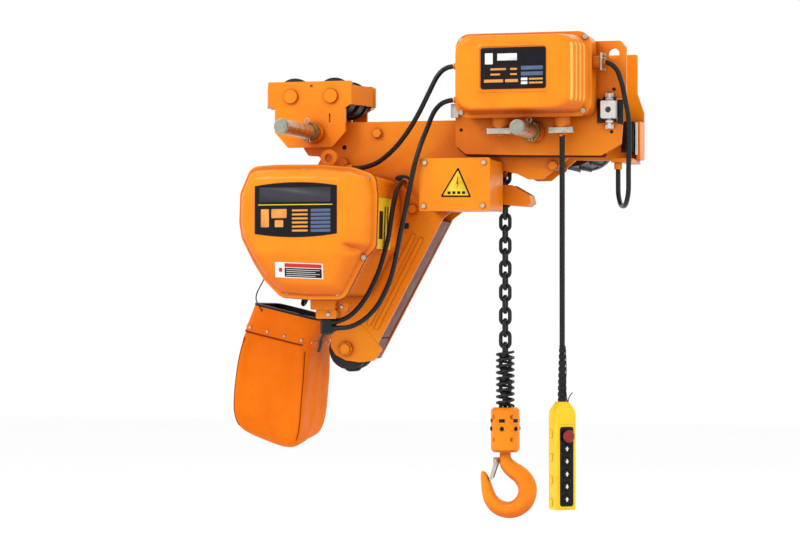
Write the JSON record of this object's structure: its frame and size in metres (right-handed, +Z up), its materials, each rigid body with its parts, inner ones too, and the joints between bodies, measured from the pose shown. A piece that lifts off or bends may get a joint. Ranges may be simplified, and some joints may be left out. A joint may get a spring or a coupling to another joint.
{
  "type": "electric chain hoist",
  "caption": "Low-headroom electric chain hoist on a plain and a driven beam trolley, with hook, chain bag, control box and push-button pendant.",
  "frame": {"origin": "on the beam's centreline at the wheel treads (the top of the beam's lower flange), straight above the hook", "axes": "+X along the beam towards the drive trolley, +Y to the back, away from the control box, +Z up"},
  "size_m": [0.8366, 0.602, 0.977],
  "materials": {
    "orange_paint": "gloss paint",
    "dark_steel": "dark",
    "zinc_steel": "zinc plated",
    "dark_paint": "satin paint",
    "white_plastic": "matte",
    "label_black": "matte",
    "black_chain": "black oxide",
    "orange_fabric": "coated cloth",
    "black_rubber": "glossy",
    "gear_steel": "machined",
    "yellow_plastic": "gloss",
    "red_plastic": "gloss",
    "black_plastic": "matte"
  },
  "bodies": {
    "frame": {"frame_front_plate": "orange_paint", "frame_rear_plate": "orange_paint", "frame_spacers": "dark_steel", "frame_hardware": "zinc_steel", "plain_plate_front": "orange_paint", "plain_plate_rear": "orange_paint", "drive_plate_front": "orange_paint", "drive_plate_rear": "orange_paint", "suspension_shafts": "zinc_steel", "shaft_collars": "orange_paint", "axle_pins": "zinc_steel", "travel_gearbox": "orange_paint", "travel_motor": "dark_paint", "guide_block": "white_plastic", "control_box": "orange_paint", "control_cover": "orange_paint", "cover_screws": "zinc_steel", "labels": "label_black", "contactors": "label_black", "cable_glands": "orange_paint", "gland_clamps": "zinc_steel", "limit_box": "orange_paint", "limit_box_lid": "orange_paint", "hoist_body": "orange_paint", "hoist_cover": "orange_paint", "motor_housing": "dark_paint", "fixed_chain": "black_chain", "bag_collar": "orange_paint", "bag_rivets": "zinc_steel", "chain_bag": "orange_fabric", "cable_a": "black_rubber", "cable_b": "black_rubber", "cable_c": "black_rubber", "cable_d": "black_rubber"},
    "plain_wheels_left": {"plain_wheels_left": "dark_steel"},
    "plain_wheels_right": {"plain_wheels_right": "dark_steel"},
    "drive_wheels_left": {"drive_wheels_left": "dark_steel"},
    "drive_wheels_right": {"drive_wheels_right": "dark_steel"},
    "travel_pinion": {"travel_pinion": "gear_steel"},
    "travel_rotor": {"travel_rotor": "gear_steel"},
    "load_sprocket": {"load_sprocket": "gear_steel"},
    "gear_cluster": {"gear_cluster": "gear_steel"},
    "lift_rotor": {"lift_rotor": "gear_steel"},
    "upper_sheave": {"upper_sheave": "dark_steel"},
    "lower_sheave": {"lower_sheave": "dark_steel"},
    "hook_run": {"hook_chain": "black_chain", "buffer_spring": "black_chain", "hook_block": "orange_paint"},
    "hook": {"hook": "orange_paint"},
    "hook_latch": {"hook_latch": "zinc_steel"},
    "limit_lever": {"limit_lever": "orange_paint"},
    "pendant": {"pendant_cable": "black_rubber", "pendant_boot": "black_rubber", "pendant_housing": "yellow_plastic"},
    "stop_button": {"stop_button": "red_plastic"},
    "button_1": {"button_1": "black_plastic"},
    "button_2": {"button_2": "black_plastic"},
    "button_3": {"button_3": "black_plastic"},
    "button_4": {"button_4": "black_plastic"},
    "button_5": {"button_5": "black_plastic"}
  },
  "joints": [
    {"name": "plain_wheels_left_spin", "type": "hinge", "parent": "frame", "child": "plain_wheels_left", "pos_m": [-0.4345, 0, 0.036], "axis": [0, -1, 0], "continuous": true},
    {"name": "plain_wheels_right_spin", "type": "hinge", "parent": "frame", "child": "plain_wheels_right", "pos_m": [-0.3485, 0, 0.036], "axis": [0, -1, 0], "continuous": true},
    {"name": "drive_wheels_left_spin", "type": "hinge", "parent": "frame", "child": "drive_wheels_left", "pos_m": [0.03, 0, 0.036], "axis": [0, -1, 0], "continuous": true},
    {"name": "drive_wheels_right_spin", "type": "hinge", "parent": "frame", "child": "drive_wheels_right", "pos_m": [0.134, 0, 0.036], "axis": [0, -1, 0], "continuous": true},
    {"name": "travel_pinion_spin", "type": "hinge", "parent": "frame", "child": "travel_pinion", "pos_m": [0.082, 0, 0.036], "axis": [0, -1, 0], "continuous": true},
    {"name": "travel_rotor_spin", "type": "hinge", "parent": "frame", "child": "travel_rotor", "pos_m": [0.112, 0, -0.04566], "axis": [0, -1, 0], "continuous": true},
    {"name": "hook_lift", "type": "slide", "parent": "frame", "child": "hook_run", "axis": [0, 0, 1], "range_m": [0, 0.288], "deforming": ["fixed_chain"]},
    {"name": "load_sprocket_spin", "type": "hinge", "parent": "frame", "child": "load_sprocket", "pos_m": [-0.342, 0, -0.251], "axis": [0, -1, 0], "range_deg": [-5, 440]},
    {"name": "gear_cluster_spin", "type": "hinge", "parent": "frame", "child": "gear_cluster", "pos_m": [-0.29957, 0, -0.20857], "axis": [0, -1, 0], "range_deg": [-1320, 15]},
    {"name": "lift_rotor_spin", "type": "hinge", "parent": "frame", "child": "lift_rotor", "pos_m": [-0.342, 0, -0.251], "axis": [0, -1, 0], "range_deg": [-45, 3960]},
    {"name": "upper_sheave_spin", "type": "hinge", "parent": "frame", "child": "upper_sheave", "pos_m": [-0.04, 0, -0.085], "axis": [0, -1, 0], "range_deg": [-5, 420]},
    {"name": "lower_sheave_spin", "type": "hinge", "parent": "frame", "child": "lower_sheave", "pos_m": [-0.327, 0, -0.484], "axis": [0, -1, 0], "range_deg": [-480, 5]},
    {"name": "hook_swivel", "type": "hinge", "parent": "hook_run", "child": "hook", "pos_m": [0, 0, -0.69], "axis": [0, 0, 1], "continuous": true},
    {"name": "hook_latch_pivot", "type": "hinge", "parent": "hook", "child": "hook_latch", "pos_m": [-0.018, 0, -0.712], "axis": [0, -1, 0], "range_deg": [0, 35], "stiffness_Nm_per_rad": 0.08, "springref_deg": -20.05},
    {"name": "limit_lever_pivot", "type": "hinge", "parent": "frame", "child": "limit_lever", "pos_m": [-0.062, 0, -0.152], "axis": [0, -1, 0], "range_deg": [0, 7], "stiffness_Nm_per_rad": 6, "springref_deg": -6.88},
    {"name": "pendant_swing", "type": "hinge", "parent": "frame", "child": "pendant", "pos_m": [0.146, -0.122, -0.056], "axis": [0, 1, 0], "range_deg": [-15, 15]},
    {"name": "stop_button_press", "type": "slide", "parent": "pendant", "child": "stop_button", "axis": [-0.6428, 0.766, 0], "range_m": [0, 0.003], "stiffness_N_per_m": 400, "springref_m": -0.001},
    {"name": "button_1_press", "type": "slide", "parent": "pendant", "child": "button_1", "axis": [-0.6428, 0.766, 0], "range_m": [0, 0.003], "stiffness_N_per_m": 400, "springref_m": -0.001},
    {"name": "button_2_press", "type": "slide", "parent": "pendant", "child": "button_2", "axis": [-0.6428, 0.766, 0], "range_m": [0, 0.003], "stiffness_N_per_m": 400, "springref_m": -0.001},
    {"name": "button_3_press", "type": "slide", "parent": "pendant", "child": "button_3", "axis": [-0.6428, 0.766, 0], "range_m": [0, 0.003], "stiffness_N_per_m": 400, "springref_m": -0.001},
    {"name": "button_4_press", "type": "slide", "parent": "pendant", "child": "button_4", "axis": [-0.6428, 0.766, 0], "range_m": [0, 0.003], "stiffness_N_per_m": 400, "springref_m": -0.001},
    {"name": "button_5_press", "type": "slide", "parent": "pendant", "child": "button_5", "axis": [-0.6428, 0.766, 0], "range_m": [0, 0.003], "stiffness_N_per_m": 400, "springref_m": -0.001}
  ],
  "couplings": [
    {"joint": "travel_pinion_spin", "follows": "drive_wheels_left_spin", "ratio": -3.3333},
    {"joint": "drive_wheels_right_spin", "follows": "drive_wheels_left_spin", "ratio": 1},
    {"joint": "travel_rotor_spin", "follows": "drive_wheels_left_spin", "ratio": 10.476},
    {"joint": "load_sprocket_spin", "follows": "hook_lift", "rad_per_m": 26.178},
    {"joint": "gear_cluster_spin", "follows": "hook_lift", "rad_per_m": -78.534},
    {"joint": "lift_rotor_spin", "follows": "hook_lift", "rad_per_m": 235.6},
    {"joint": "upper_sheave_spin", "follows": "hook_lift", "rad_per_m": 25},
    {"joint": "lower_sheave_spin", "follows": "hook_lift", "rad_per_m": -28.571}
  ]
}
